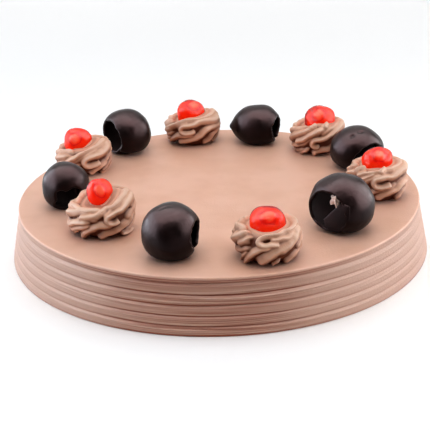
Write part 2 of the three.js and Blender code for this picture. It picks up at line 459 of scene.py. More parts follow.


# The side's radius leans from base to top, less the comb's grooves: between two of them a ridge stands
# out more and more up to a ledge, a half cosine back in; the grooves' heights and depth wander round the
# cake, and fine streaks run along them; the second result is painted shade from 0 to 1: dark lines in the
# grooves, and in front more shade up each ridge and in the streaks' hollows
def cakeSide(angle, height):
    body = cakeBody
    valleys = np.array(body["valleys"])
    wander = body["grooveWander"] * ripple(angle, body["grooveWaves"], 11)
    stage = np.interp(height + wander, valleys, np.arange(len(valleys)))
    climb = stage - np.floor(stage)
    front = pressed(angle, body["frontWithin"])
    middle = pressed(angle, body["middleWithin"])
    shifted = angle + body["ridgeShift"] * np.floor(stage)
    depth = 1 + body["depthWander"] * ripple(shifted, body["depthWaves"], 12)
    depth = body["ridgeDepth"] * depth * between(body["pressedElsewhere"], 1, front)
    ledge = between(*body["ledgeFrom"], front)
    step, width = body["footStep"]
    face = step * ease(climb, -width, width) + (1 - step) * np.minimum(climb / ledge, 1)
    back = 0.5 + 0.5 * np.cos(np.pi * (climb - ledge) / (1 - ledge))
    valley = 1 - np.where(climb < ledge, face, back) - body["undercut"] * (1 - ease(climb, 0, width))
    radius = body["baseRadius"] + (body["topRadius"] - body["baseRadius"]) * height / valleys[-1]

    patchy = 0.5 + 0.5 * drumNoise(angle, height, body["patchScale"], 14)
    lines = drumNoise(angle, height, body["streakScale"], 13) * np.clip(patchy, 0, 1)
    streak = (body["streakDepth"][0] + body["streakDepth"][1] * front) * lines
    # painted shade: dark lines in the grooves, and in front more shade up each ridge and in the streaks'
    # hollows
    dark = sum(bell(climb, *line) for line in body["grooveShadeLines"])
    around, inFront, inMiddle = body["grooveLineShade"]
    dark = np.clip(dark, 0, 1) * (around + inFront * front + inMiddle * middle)
    fixed, upRidge, inStreak = body["streakShade"]
    dark = dark + middle * np.clip(fixed + upRidge * climb - inStreak * lines, *body["streakLimits"])
    return radius - depth * valley + streak * (1 - valley), np.clip(dark, 0, 1)


# The whole skin: rows climb the side, lean out under the top edge, go over it as an arc and run in over
# the top, all turned round the upright axis; the underside is flat
def cakeSkin():
    body = cakeBody
    angle = np.linspace(0, fullTurn, body["columns"], endpoint=False)[None, :]
    sideTop = body["valleys"][-1]
    height = np.linspace(0, sideTop, body["sideRows"])[:, None]
    sideRadius, sideShade = cakeSide(angle, height)

    underRows, edgeRows = body["lipRows"]
    small = body["edgeRound"]
    edgeFoot = body["height"] - small
    climb = np.linspace(0, 1, underRows + 1)[1:, None]
    bend = np.linspace(0, math.pi / 2, edgeRows + 1)[1:, None]
    lip = body["topRadius"] + body["lipUneven"] * ripple(angle, body["lipWaves"], 15)
    underRadius = between(sideRadius[-1:], lip, climb ** body["lipLean"])
    lipRadius = np.concatenate([underRadius, lip - small + small * np.cos(bend)])
    lipHeight = np.concatenate([between(sideTop, edgeFoot, climb), edgeFoot + small * np.sin(bend)])
    # painted shade: dark lines under the top edge, strongest in front
    lipShade = np.zeros(lipRadius.shape)
    under = sum(bell(climb, *line) for line in body["lipShadeLines"])
    lipShade[:underRows] = under * between(body["lipShade"], 1, pressed(angle, body["frontWithin"]))

    inward = np.linspace(0, 1, body["topRows"] + 1)[1:, None]
    topRadius = lipRadius[-1:] * (1 - inward)
    across = asPoints(topRadius * np.cos(angle), topRadius * np.sin(angle), 0)
    wave = sum(share * softNoise(across, length, seed) for share, length, seed in body["topWaves"])
    edgeFlat, middleFlat = body["topFlat"]
    wave = wave * ease(inward, 0, edgeFlat) * ease(1 - inward, 0, middleFlat)
    topHeight = body["height"] + body["topUneven"] * wave

    footRadius = sideRadius[:1] * np.array(body["footRings"])[:, None]
    radius = np.concatenate([footRadius, sideRadius, lipRadius, topRadius])
    rise = np.concatenate([0 * footRadius, height + 0 * angle, lipHeight + 0 * angle, topHeight])
    # painted shade on the side and under the lip; none on the foot and the top
    dark = np.concatenate([0 * footRadius, sideShade, lipShade, 0 * topRadius])
    return asPoints(radius * np.cos(angle), radius * np.sin(angle), rise), dark


skin, paintedSideShade = cakeSkin()
dress(meshFromGrids("cake_icing", [skin], {"grooveShade": [paintedSideShade]}), "cake", icing)
print("cake made")


# Rosettes

# angle and ring place a rosette from the middle of the cake; heights are those of its rim on the left,
# in front, on the right and at the back; seat, cherry, square, squash, lean and tip are the cherry's:
# square is the power of its section and tip is how far its dimple tips from the top towards the front
rosettes = {
    "front": dict(angle=-75, ring=98.5, radius=18.8, heights=(19.3, 18.1, 19.5, 19.0), seat=18.7,
                  cherry=9.8, square=2.6, squash=0.86, lean=0.0, tip=38),
    "front_left": dict(angle=-142, ring=84.5, radius=19.6, heights=(16.2, 17.2, 23.6, 21.5), seat=22.6,
                       cherry=7.3, square=2.1, squash=1.15, lean=-0.7, tip=62),
    "back_left": dict(angle=150, ring=99.5, radius=18.2, heights=(15.1, 17.2, 20.7, 18.0), seat=19.1,
                      cherry=8.9, square=2.2, squash=0.96, lean=-3.2, tip=58),
    "back": dict(angle=99, ring=102.0, radius=18.8, heights=(15.6, 19.8, 20.8, 18.0), seat=19.3,
                 cherry=9.3, square=2.3, squash=0.95, lean=-1.0, tip=30),
    "back_right": dict(angle=48, ring=100.5, radius=18.4, heights=(16.5, 21.0, 21.0, 18.5), seat=20.3,
                       cherry=9.9, square=2.4, squash=0.9, lean=1.4, tip=43),
    "right": dict(angle=-7, ring=96.0, radius=18.0, heights=(19.5, 20.6, 22.0, 20.5), seat=21.1,
                  cherry=9.3, square=2.3, squash=0.95, lean=0.0, tip=39),
}

# the form that the strands lie on: from foot to inner edge, as shares of the radius and of the height
barrel = {
    "place": (0.0, 0.124, 0.284, 0.475, 0.627, 0.741, 0.853, 1.0),
    "reach": (0.83, 0.90, 0.97, 1.0, 0.98, 0.90, 0.76, 0.55),
    "rise": (0.0, 0.15, 0.35, 0.6, 0.8, 0.93, 1.0, 1.0),
    "rimPlace": 0.95,
    "samples": 90,        # points of the profile that relief is measured from
    "wallSamples": 70,    # and those of them that climb
}

# the strands of each rosette as the nozzle left them: how far one stands proud, its half width at its
# start and end, and the angles and places up the barrel, in hundredths, that it runs through
strands = {
    "front": (
        (0.9, 3.8, 3.3, (-111, -92, -78, -63, -48, -34, -14, 20), (4, 29, 43, 47, 54, 65, 74, 78)),
        (0.3, 2.7, 3.6, (-60, -40, -23, -5, 25), (3, 16, 24, 42, 60)),
        (0.2, 1.3, 1.2, (-86, -72, -63), (4, 16, 25)),
        (0.7, 2.0, 2.0, (-145, -127, -114, -101, -86, -70), (0, 24, 41, 50, 54, 58)),
        (-0.2, 2.4, 2.2, (-205, -150, -129, -111), (17, 31, 44, 57)),
        (0.3, 1.3, 1.3, (-161, -137, -123), (0, 28, 45)),
        (0.5, 2.3, 2.3, (-154, -134, -123, -111), (46, 63, 75, 81)),
        (1.1, 2.9, 2.4, (-215, -167, -147, -137, -119), (29, 54, 71, 85, 89)),
        (0.6, 3.0, 2.6, (-222, -192, -162, -130), (58, 74, 88, 95)),
        (0.6, 2.4, 2.1, (-245, -222, -195), (70, 82, 93)),
        (1.3, 1.4, 2.9, (-72, -86, -96, -104, -109, -107, -99, -86, -71, -54, -38, -5, 35, 75),
         (57, 60, 58, 60, 65, 73, 80, 83, 83, 87, 84, 82, 84, 86)),
        (0.2, 2.3, 2.6, (-89, -67, -52, -35, 5), (70, 71, 68, 76, 80)),
    ),
    "front_left": (
        (0.8, 2.7, 4.0, (-94, -77, -63, -47, -33, -20, 15), (4, 19, 22, 28, 34, 45, 55)),
        (1.4, 1.2, 0.7, (-49, -24, -6), (10, 6, 9)),
        (0.8, 2.3, 2.1, (-132, -117, -104, -92, -80, -67, -54), (0, 23, 35, 43, 43, 38, 42)),
        (0.8, 2.1, 2.1, (-205, -162, -132, -109, -92), (14, 16, 33, 44, 49)),
        (0.6, 1.2, 1.2, (-158, -139, -124), (6, 21, 31)),
        (1.3, 2.1, 1.7, (-200, -166, -135, -115, -97), (29, 29, 48, 53, 54)),
        (1.2, 1.9, 4.2, (-129, -114, -100, -90, -75, -62, -35, 0, 45),
         (63, 67, 70, 78, 95, 88, 90, 88, 86)),
        (0.0, 1.8, 1.8, (-137, -112, -93, -81), (54, 61, 63, 71)),
        (1.2, 2.2, 1.9, (-205, -149, -133, -110, -95), (42, 74, 81, 85, 97)),
        (1.3, 2.5, 2.5, (-205, -174, -138, -115, -92, -70), (53, 84, 87, 90, 93, 95)),
        (1.3, 2.2, 1.9, (-222, -192, -162), (55, 74, 90)),
        (1.3, 2.1, 1.8, (-245, -222, -195), (66, 80, 93)),
        (0.2, 2.5, 4.5, (-42, -18, 10, 40), (40, 50, 60, 70)),
        (1.2, 1.5, 5.0, (-54, -63, -70, -76, -77, -72, -62, -48, -28, 0, 45),
         (47, 44, 46, 52, 62, 66, 68, 67, 72, 74, 78)),
        (-1.3, 1.6, 1.6, (-74, -62, -53), (57, 58, 56)),
        (-0.2, 2.7, 4.7, (-84, -67, -48, -25, 0, 40), (65, 81, 86, 91, 90, 88)),
    ),
    "back_left": (
        (0.9, 2.2, 2.1, (-205, -174, -152, -128, -102), (50, 71, 85, 92, 79)),
        (1.1, 2.4, 2.1, (-228, -198, -168), (58, 77, 92)),
        (0.7, 3.0, 2.4, (-200, -161, -134, -117, -102), (31, 53, 63, 70, 77)),
        (0.5, 1.6, 1.6, (-200, -169, -137, -117), (16, 32, 45, 58)),
        (0.9, 1.9, 4.4, (-130, -113, -100, -88, -69, -45, -10, 40), (41, 56, 66, 77, 86, 88, 88, 87)),
        (-0.3, 2.6, 3.3, (-124, -102, -89, -72, -49, 0), (35, 52, 63, 71, 80, 84)),
        (1.2, 1.9, 5.3, (-47, -63, -72, -80, -84, -81, -71, -56, -37, -15, 15, 50),
         (36, 34, 33, 36, 45, 55, 60, 60, 61, 68, 74, 78)),
        (-0.7, 1.7, 1.7, (-79, -68, -59), (45, 47, 48)),
        (0.8, 2.4, 3.5, (-72, -59, -44, -25, 0), (2, 19, 25, 31, 45)),
        (0.3, 1.8, 2.8, (-43, -22, -4, 5, 30), (0, 1, 5, 28, 45)),
        (0.5, 2.1, 2.1, (-145, -122, -100, -80), (13, 22, 37, 50)),
        (0.6, 2.1, 2.1, (-190, -160, -130), (16, 26, 41)),
    ),
    "back": (
        (0.9, 2.1, 4.5, (-170, -141, -124, -104, -84, -67, -42, -10, 30, 70),
         (53, 68, 78, 83, 82, 84, 84, 86, 88, 88)),
        (1.5, 3.4, 2.7, (-210, -188, -172, -195), (49, 63, 83, 97)),
        (1.6, 2.5, 2.2, (-228, -198, -168), (58, 77, 92)),
        (1.0, 2.7, 2.2, (-205, -174, -144, -126), (35, 46, 58, 62)),
        (0.2, 2.7, 2.5, (-200, -162, -138, -121), (21, 34, 46, 51)),
        (-0.3, 2.3, 2.5, (-132, -108, -91, -75), (63, 72, 73, 75)),
        (1.2, 1.7, 5.3, (-84, -96, -107, -115, -117, -112, -100, -87, -74, -28, 0, 40),
         (49, 43, 42, 47, 55, 62, 63, 66, 73, 66, 72, 78)),
        (-0.6, 1.6, 1.6, (-112, -99, -90), (52, 53, 55)),
        (0.5, 2.2, 2.3, (-167, -139, -122, -104, -88, -72), (4, 26, 35, 35, 36, 43)),
        (0.9, 2.5, 3.3, (-127, -106, -89, -74, -61, -12, 20), (14, 21, 26, 34, 46, 50, 62)),
        (0.4, 2.7, 4.4, (-68, -48, -38, 5, 35), (9, 18, 30, 42, 55)),
        (0.8, 1.8, 1.7, (-195, -167, -139), (10, 19, 36)),
    ),
    "back_right": (
        (0.8, 2.4, 2.1, (-228, -198, -168), (60, 78, 93)),
        (0.7, 2.4, 2.1, (-205, -180, -161, -143, -116), (51, 74, 85, 97, 94)),
        (0.6, 2.9, 2.3, (-200, -164, -142, -125, -110, -96, -86), (31, 52, 63, 69, 77, 81, 74)),
        (1.1, 2.0, 2.7, (-150, -127, -114, -101, -90, -78, -62), (39, 47, 56, 63, 68, 76, 94)),
        (-0.3, 2.4, 2.8, (-185, -143, -123, -108, -94, -81), (20, 27, 36, 50, 58, 65)),
        (0.4, 1.8, 1.8, (-200, -161, -140, -122), (17, 23, 28, 28)),
        (1.1, 1.7, 5.1, (-90, -103, -107, -103, -90, -77, -61, -20, 10, 50),
         (26, 27, 33, 43, 46, 50, 59, 74, 80, 84)),
        (0.5, 1.9, 1.9, (-149, -127, -114, -106), (1, 12, 21, 30)),
        (0.0, 2.0, 2.0, (-200, -165, -133, -114), (10, 3, 17, 29)),
        (0.8, 2.3, 3.2, (-107, -98, -86, -68, -48, -8), (0, 12, 16, 17, 27, 40)),
        (0.0, 3.4, 4.4, (-93, -74, -56, -8, 25), (57, 66, 75, 88, 88)),
        (1.5, 2.1, 0.7, (-115, -105, -96), (74, 86, 98)),
        (1.8, 2.1, 0.7, (-84, -72, -60), (74, 86, 99)),
    ),
    "right": (
        (2.1, 1.9, 0.7, (-152, -141, -129), (74, 86, 98)),
        (1.6, 2.1, 0.7, (-94, -82, -69), (76, 88, 99)),
        (1.9, 1.6, 0.7, (-180, -170, -160), (76, 87, 97)),
        (0.6, 2.2, 1.9, (-205, -172, -148, -131, -112), (44, 64, 75, 85, 81)),
        (0.8, 2.3, 2.1, (-215, -185, -155), (50, 70, 87)),
        (0.8, 2.2, 1.9, (-236, -208, -178), (62, 79, 93)),
        (0.8, 2.0, 4.1, (-144, -125, -109, -91, -74, -61, -28, 5, 45),
         (66, 74, 79, 83, 88, 87, 86, 86, 86)),
        (0.6, 1.8, 1.9, (-170, -126, -115, -102, -86), (33, 61, 67, 74, 77)),
        (0.3, 2.1, 2.5, (-160, -124, -110, -97, -83, -64), (21, 51, 62, 68, 73, 74)),
        (1.2, 1.8, 5.1, (-68, -81, -92, -100, -104, -101, -92, -80, -65, -50, -8, 25, 60),
         (47, 43, 42, 45, 52, 60, 63, 66, 64, 69, 70, 76, 80)),
        (-0.6, 1.5, 1.5, (-101, -90, -82), (52, 53, 54)),
        (-0.1, 2.1, 2.2, (-150, -112, -99, -83, -67, -54, -39), (13, 26, 32, 35, 40, 46, 51)),
        (0.8, 3.1, 3.1, (-100, -86, -70, -56, -44, -8, 22), (9, 22, 29, 31, 38, 42, 56)),
        (0.5, 1.9, 2.4, (-51, -37, -18, 12, 35), (1, 11, 20, 36, 46)),
        (0.3, 1.9, 1.9, (-190, -165, -140), (13, 21, 32)),
    ),
}

# strands that are not traced: broad walls that grow out from under those in front, and behind them
# tiers, which are not seen, that climb in the same way from a first angle, step by step
behind = {
    "walls": (((-38, -8, 20, 55), (6, 20, 34, 50)), ((-32, -2, 28, 62), (33, 48, 60, 70)),
              ((-26, 5, 38, 75), (58, 74, 83, 87))),
    "wallWidth": (1.2, 3.4),
    "tiers": ((15, 34, (0, 28, 60, 85), (6, 17, 34, 48)), (22, 33, (0, 35, 75), (40, 54, 72)),
              (28, 26, (0, 40, 85), (68, 80, 88))),
    "tierProud": 0.6,
    "tierWidth": (2.0, 2.6),
    "tierCount": 4,
    "shift": 6,
    "lift": 3,
}

cream = {
    "depth": (1.6, 0.5),        # half depth of a strand: a fixed part and a share of its half width
    "widen": 1.16,
    "square": 1.38,             # power of its rounded section
    "widenFrom": 0.3,           # share of its length where its width begins to change
    "wobble": 0.07,             # share that its width wanders
    "wobblePace": 9,
    "wobbleWaves": (1, 2, 3),
    "climb": 27.0,              # length up the barrel, for the pace along a strand
    "caps": (1.1, 3.0),         # rounded ends, in half widths
    "tail": (4.0, 1.3),         # where its end begins to sink in, in half widths, and how far, in depths
    "ragged": (0.1, 5.0),       # depth and length of the waves on its skin
    "rows": 110,
    "columns": 40,
    "core": (3.8, 1.9),         # how far the core lies behind the barrel at the foot and above
    "coreBack": 1.2,            # and further at its left, where the strands lie looser
    "coreFoot": 0.3,            # place up the barrel where its foot ends
    "coreHeight": (0.92, 0.08, 0.75),    # its share of the barrel's height, what it gains and from where
    "coreGrid": (30, 72),
    "brim": (0.85, 0.95),       # reach of the cherry's seat in cherry radii, and its height in the middle
    "swellShare": 1.5,          # what a swelling, facing up and the foot add to the painted shade: the foot darker, faces that look up lighter
    "upLightShare": 1.2,
    "footShade": 0.45,
    "footTop": 9.0,
    "swellRounds": 40,
    "seatShadeLimit": -0.3,         # least shade value round the cherry, which keeps the painted hollow shade light there
    "seatFade": (1.5, 4),       # distances from it, and heights, where that fades
    "seatAbove": (9, 12),
    "voxel": 0.42,
    "relaxRounds": 1,
    "sink": 0.1,
}


# Go through given rows of values at given places: cubic pieces whose slopes follow the neighbours
def curveThrough(value, places, rows):
    slopes = np.gradient(rows, places, axis=0)
    step = np.clip(np.searchsorted(places, value, side="right") - 1, 0, len(places) - 2)
    width = (places[step + 1] - places[step])[..., None]
    t = (value - places[step])[..., None] / width
    bend = t * t * (3 - 2 * t)
    first = rows[step] * (1 - bend) + rows[step + 1] * bend
    return first + width * t * (1 - t) * (slopes[step] * (1 - t) - slopes[step + 1] * t)


# The barrel: radius and height follow its profile, and the height eases between the four sides
def barrelPoint(swirl, azimuth, place, inset=0.0):
    rows = np.column_stack([barrel["reach"], barrel["rise"]])
    shape = curveThrough(np.clip(place, 0, 1), np.array(barrel["place"]), rows)
    quarter = np.mod(azimuth / fullTurn + 0.5, 1) * 4
    sides = np.array(swirl["heights"] + swirl["heights"][:1])
    side = np.clip(np.floor(quarter).astype(int), 0, 3)
    height = between(sides[side], sides[side + 1], ease(quarter - side, 0, 1))
    reach = swirl["radius"] * shape[..., 0] - inset
    return asPoints(reach * np.cos(azimuth), reach * np.sin(azimuth), height * shape[..., 1])


# One strand: a pinched ellipse carried along a curve on the barrel, round at its start; its end thins
# and sinks into the cream
def creamStrand(swirl, strand, seed):
    proud, startWidth, endWidth, turns, places = strand
    knots = np.column_stack([np.array(turns) * math.radians(1), np.array(places) / 100])
    pace = np.hypot(swirl["radius"] * np.diff(knots[:, 0]), cream["climb"] * np.diff(knots[:, 1]))
    length = pace.sum()
    s = np.linspace(0, 1, cream["rows"])
    azimuth, place = curveThrough(s, np.concatenate([[0], np.cumsum(pace)]) / length, knots).T
    width = cream["widen"] * between(startWidth, endWidth, ease(s, cream["widenFrom"], 1))
    width = width * (1 + cream["wobble"] * ripple(s * cream["wobblePace"], cream["wobbleWaves"], seed))
    depth = cream["depth"][0] + cream["depth"][1] * width
    startCap, endCap = cream["caps"]
    caps = roundOff(s * length / (startCap * startWidth))
    caps = caps * roundOff((1 - s) * length / (endCap * endWidth))
    tailFrom, tailDepth = cream["tail"]
    tail = ease((1 - s) * length, 0, tailFrom * endWidth)

    small = 0.01
    eastward = barrelPoint(swirl, azimuth + small, place) - barrelPoint(swirl, azimuth - small, place)
    upward = barrelPoint(swirl, azimuth, place + small) - barrelPoint(swirl, azimuth, place - small)
    outward = unit(np.cross(eastward, upward))
    rise = proud - depth - tailDepth * depth * (1 - tail)
    middle = barrelPoint(swirl, azimuth, place) + outward * rise[:, None]
    across = unit(np.cross(unit(np.gradient(middle, axis=0)), outward))

    section = np.linspace(0, fullTurn, cream["columns"], endpoint=False)[None, :, None]
    power = 2 / cream["square"]
    wide = np.sign(np.cos(section)) * np.abs(np.cos(section)) ** power
    deep = np.sign(np.sin(section)) * np.abs(np.sin(section)) ** power
    grid = middle[:, None] + wide * (across * (width * caps)[:, None])[:, None]
    grid = grid + deep * (outward * (depth * caps)[:, None])[:, None]
    ragged, waveLength = cream["ragged"]
    return grid + ragged * np.stack([softNoise(grid, waveLength, seed + axis) for axis in range(3)], -1)


# The strands round the right and the back
def backStrands(seed):
    draw = np.random.default_rng(seed)
    made = [(0.0, *behind["wallWidth"], *wall) for wall in behind["walls"]]
    for first, step, turns, places in behind["tiers"]:
        for number in range(behind["tierCount"]):
            start = first + step * number + draw.uniform(-behind["shift"], behind["shift"])
            lift = draw.uniform(-behind["lift"], behind["lift"])
            width = draw.uniform(*behind["tierWidth"])
            made.append((behind["tierProud"], width, width, np.add(turns, start), np.add(places, lift)))
    return made


# The core inside the strands: the barrel drawn in, closed by a floor and a shallow dish
def creamCore(swirl):
    rows, columns = cream["coreGrid"]
    azimuth = np.linspace(-math.pi, math.pi, columns, endpoint=False)[None, :]
    place = np.linspace(0, 1, rows)[:, None]
    foot, above = cream["core"]
    inset = between(above, foot, 1 - ease(place, 0, cream["coreFoot"]))
    inset = inset - cream["coreBack"] * np.minimum(0, np.cos(azimuth))
    wall = barrelPoint(swirl, *np.broadcast_arrays(azimuth, place), inset)
    low, gain, gainFrom = cream["coreHeight"]
    wall = wall * asPoints(1, 1, low + gain * ease(place, gainFrom, 1) + 0 * azimuth)
    floor = wall[:1] * np.array([0, 0, 1])
    brimReach, dishHeight = cream["brim"]
    brim = wall[-1:].copy()
    brim[..., 0] = swirl["lean"] + brimReach * swirl["cherry"] * np.cos(azimuth)
    brim[..., 1] = brimReach * swirl["cherry"] * np.sin(azimuth)
    dish = np.broadcast_to(brim[-1].mean(0) * np.array([1, 1, dishHeight]), brim.shape)
    return np.concatenate([floor, wall, brim, dish])


# Move every point towards the mean of its neighbours, round after round
def relax(points, edges, rounds, pull=0.5):
    count = np.bincount(edges.ravel(), minlength=len(points))[:, None]
    for _ in range(rounds):
        total = np.zeros_like(points)
        for axis in range(3):
            total[:, axis] = np.bincount(edges[:, 0], points[edges[:, 1], axis], len(points))
            total[:, axis] += np.bincount(edges[:, 1], points[edges[:, 0], axis], len(points))
        points = points + pull * (total / count - points)
    return points


# How far points stand out of the barrel, along the nearest way to its profile
def barrelRelief(points, swirl):
    place = np.linspace(0, 1, barrel["samples"])
    azimuth = np.arctan2(points[:, 1], points[:, 0])
    height = barrelPoint(swirl, azimuth, np.full_like(azimuth, barrel["rimPlace"]))[:, 2]
    profile = barrelPoint(swirl, 0 * place, place)
    rim = profile[:, 2].max()
    spot = np.column_stack([np.hypot(points[:, 0], points[:, 1]), points[:, 2] * rim / height])
    away = np.hypot(spot[:, :1] - profile[:, 0], spot[:, 1:] - profile[:, 2])
    wall = profile[:barrel["wallSamples"]]
    inside = (spot[:, 0] < np.interp(spot[:, 1], wall[:, 2], wall[:, 0])) & (spot[:, 1] < rim)
    return np.where(inside, -1, 1) * away.min(1)


# Read a vector for each point of a mesh, as rows of three
def getRows(values, field):
    rows = np.zeros(len(values) * 3, np.float32)
    values.foreach_get(field, rows)
    return rows.reshape(-1, 3)


# Weld the strands and core into one skin of cream, and mark each point's painted shade: how far it stands
# out of the barrel and of the smoothed form round it, and how far it faces up, less at the foot and kept
# light round the cherry
def weldCream(name, grids, swirl):
    rough = bpy.data.objects.new(name, meshFromGrids(name + "_rough", grids))
    bpy.context.scene.collection.objects.link(rough)
    weld = rough.modifiers.new("weld", "REMESH")
    weld.mode = "VOXEL"
    weld.voxel_size = cream["voxel"] * mm
    shape = rough.evaluated_get(bpy.context.evaluated_depsgraph_get())
    mesh = bpy.data.meshes.new_from_object(shape)
    bpy.data.objects.remove(rough)
    mesh.name = name
    edges = np.zeros(len(mesh.edges) * 2, np.int32)
    mesh.edges.foreach_get("vertices", edges)
    edges = edges.reshape(-1, 2)
    points = relax(getRows(mesh.vertices, "co").astype(float), edges, cream["relaxRounds"])
    mesh.vertices.foreach_set("co", points.astype(np.float32).ravel())
    mesh.update()
    normals = getRows(mesh.vertex_normals, "vector")
    swell = ((points - relax(points, edges, cream["swellRounds"])) * normals).sum(1) / mm
    local = points / mm - topPlace(swirl)
    # painted shade: darker in hollows and at the foot, lighter where it stands out and faces up
    shadeByRelief = barrelRelief(local, swirl) + cream["swellShare"] * swell + cream["upLightShare"] * normals[:, 2]
    reach = np.hypot(local[:, 0] - swirl["lean"], local[:, 1]) - swirl["cherry"]
    seat = (1 - ease(reach, *cream["seatFade"])) * ease(local[:, 2], *cream["seatAbove"])
    shadeByRelief = shadeByRelief + seat * np.maximum(0, cream["seatShadeLimit"] - shadeByRelief)
    shadeByRelief = shadeByRelief - cream["footShade"] * (1 - ease(local[:, 2], 0, cream["footTop"]))
    addMark(mesh, "shadeByRelief", shadeByRelief)
    mesh.shade_smooth()
    return mesh


# A spot on the cake's top, from its angle and its way from the middle
def topPlace(spot, rise=0.0):
    angle = math.radians(spot["angle"])
    return np.array([spot["ring"] * math.cos(angle), spot["ring"] * math.sin(angle),
                     cakeBody["height"] + rise])


for number, (name, swirl) in enumerate(rosettes.items()):
    seed = 100 + 60 * number
    lines = list(strands[name]) + backStrands(seed)
    grids = [creamStrand(swirl, line, seed + 2 * place) for place, line in enumerate(lines)]
    grids = [grid + topPlace(swirl, -cream["sink"]) for grid in grids + [creamCore(swirl)]]
    dress(weldCream("swirl_" + name, grids, swirl), "rosette_" + name, piped)
print("rosettes made")


# Cherries

fruit = {
    "dimple": 0.03,
    "dimpleWidth": 29,                    # degrees from its middle to the groove round it
    "ring": 0.06,                         # depth of that groove
    "ringWidth": (0.36, 0.26),            # of the groove and of its painted shade, in dimple widths
    "discHighlight": (0.25, 1.05),                 # where the painted highlight on the disc inside the groove fades
    "wrinkle": 0.4,
    "wrinkleWave": 11.0,
    "foldWave": 6.0,
    "foldLimits": (0.5, 0.3),             # greatest height between folds, and the level that stays
    "foldShade": (0.2, 0.6),               # width of a fold's valley and share of the groove's painted shade
    "uneven": 0.12,                       # share that disc and groove wander
    "aside": 0.2,                         # how far dimple and outline shade turn aside, by a seeded sine
    "outlineSide": (0.95, -0.3),             # way back and up, across the band of outline shade
    "outlineUneven": (0.1, 5.0),
    "outlineShade": (-0.42, 0.0, 0.05, 0.45),     # where the painted outline shade fades in and out, front to back
    "columns": 120,
    "rows": 80,
}


# A ball pulled in by soft wrinkles, by folds that are the valleys of an absolute noise, and by a dimple
# with a groove round it, each a bell by the angle from its middle; its upright section is a
# square-ish round, 1 over the root of the summed powers; marked are a painted highlight on the disc,
# painted shade in the groove and folds, and a band of painted shade round the outline seen from the front
def cherryBall(swirl, seed):
    heading = ballHeadings(fruit["rows"], fruit["columns"])
    size = swirl["cherry"]
    tip = math.radians(swirl["tip"])
    middle = unit(np.array([fruit["aside"] * math.sin(2 * seed), -math.sin(tip), math.cos(tip)]))
    away = np.arccos(np.clip(heading @ middle, -1, 1)) / math.radians(fruit["dimpleWidth"])
    grooveWidth, grooveShadeWidth = fruit["ringWidth"]
    pulled = fruit["dimple"] * bell(away, 0, 1) + fruit["ring"] * bell(away, 1, grooveWidth)
    power = swirl["square"]
    flat = np.hypot(heading[..., 0], heading[..., 1])
    radius = size * (1 - pulled) / (flat ** power + np.abs(heading[..., 2]) ** power) ** (1 / power)
    ball = heading * size
    radius = radius + fruit["wrinkle"] * softNoise(ball, fruit["wrinkleWave"], seed)
    folds = np.abs(softNoise(ball, fruit["foldWave"], seed + 1))
    foldTop, foldLevel = fruit["foldLimits"]
    radius = radius + fruit["wrinkle"] * (np.minimum(folds, foldTop) - foldLevel)
    away = away + fruit["uneven"] * softNoise(ball, fruit["foldWave"], seed + 2)
    foldWidth, foldShadeShare = fruit["foldShade"]
    # painted shade in the dimple's groove and in the folds' valleys
    ring = bell(away, 1, grooveShadeWidth) + foldShadeShare * (1 - ease(folds, 0.0, foldWidth))
    wander, waveLength = fruit["outlineUneven"]
    # painted shade: a band where the fruit turns away from a view from the front and above
    outlineWay = heading @ np.array([fruit["aside"] * math.sin(3 * seed), *fruit["outlineSide"]])
    outlineWay = outlineWay + wander * softNoise(ball, waveLength, seed + 3)
    marks = {"discHighlight": [1 - ease(away, *fruit["discHighlight"])], "ring": [np.clip(ring, 0, 1)],
             "outlineShade": [ease(outlineWay, *fruit["outlineShade"][:2]) * (1 - ease(outlineWay, *fruit["outlineShade"][2:]))]}
    place = topPlace(swirl, swirl["seat"]) + np.array([swirl["lean"], 0, 0])
    return heading * radius[..., None] * np.array([1, 1, swirl["squash"]]) + place, marks


for number, (name, swirl) in enumerate(rosettes.items()):
    ball, marks = cherryBall(swirl, 300 + 5 * number)
    mesh = meshFromGrids("fruit_" + name, [ball], marks)
    dress(mesh, "cherry_" + name, cherryGloss)
print("cherries made")


# Curls

# facing is the way the mouth looks and lift tips it up, in degrees; mouth and tail are the latitudes
# where the ball stops; dome and belly are heights above and below the axis as shares of the radius;
# start is where the sheet's outer edge lies, from straight down; inward is how far it curls in; tip
# draws the tail to a point; scuffs are dents, each with its place from the curl's spot on the cake and
# its depth
usualCurl = dict(tip=0.0, tail=64, turns=1.3, inward=7, wave=0, scuffs=())
curls = {
    "front_left": dict(angle=-106, ring=95, facing=-15, lift=3, radius=16.3, length=16.3, dome=0.95,
                       belly=0.92, mouth=58, lip=7, lipAt=190, start=20,
                       scuffs=((-5.1, -4.1, 28.7, 0.35), (-4.1, -3.4, 29.1, 0.4),
                               (-3.0, -2.8, 29.5, 0.4), (-1.8, -2.5, 29.7, 0.35),
                               (-0.6, -2.2, 29.9, 0.3), (0.7, -2.0, 29.9, 0.2))),
    "left": dict(angle=-171, ring=92, facing=-80, lift=-25, radius=13.9, length=13.9, dome=1.02,
                 belly=1.02, mouth=51, lip=5, lipAt=220, wave=5, turns=1.45, start=36, inward=9),
    "back_left": dict(angle=126.5, ring=102, facing=213, lift=-2, radius=17.0, length=16.6, dome=0.95,
                      belly=0.78, mouth=42, lip=3, lipAt=180, start=42, inward=8),
    "back_right": dict(angle=73.5, ring=97, facing=-20, lift=5, radius=14.6, length=18.0, dome=1.0,
                       belly=0.8, tip=0.7, mouth=52, lip=9, lipAt=180, tail=76, start=20),
    "right": dict(angle=23.5, ring=97, facing=-58, lift=-14, radius=17.2, length=16.8, dome=0.85,
                  belly=0.72, mouth=45, lip=3, lipAt=180, start=36,
                  scuffs=((2.4, -6.1, 25.1, 1.5), (0.9, -6.9, 24.9, 1.3), (-3.4, -9.0, 23.7, 1.2),
                          (-4.9, -9.4, 23.1, 0.8))),
    "front_right": dict(angle=-41.5, ring=92, facing=230, lift=-4, radius=18.6, length=18.0, dome=0.95,
                        belly=0.8, mouth=45, lip=4, lipAt=90, tail=54, turns=1.62, start=30, inward=14),
}

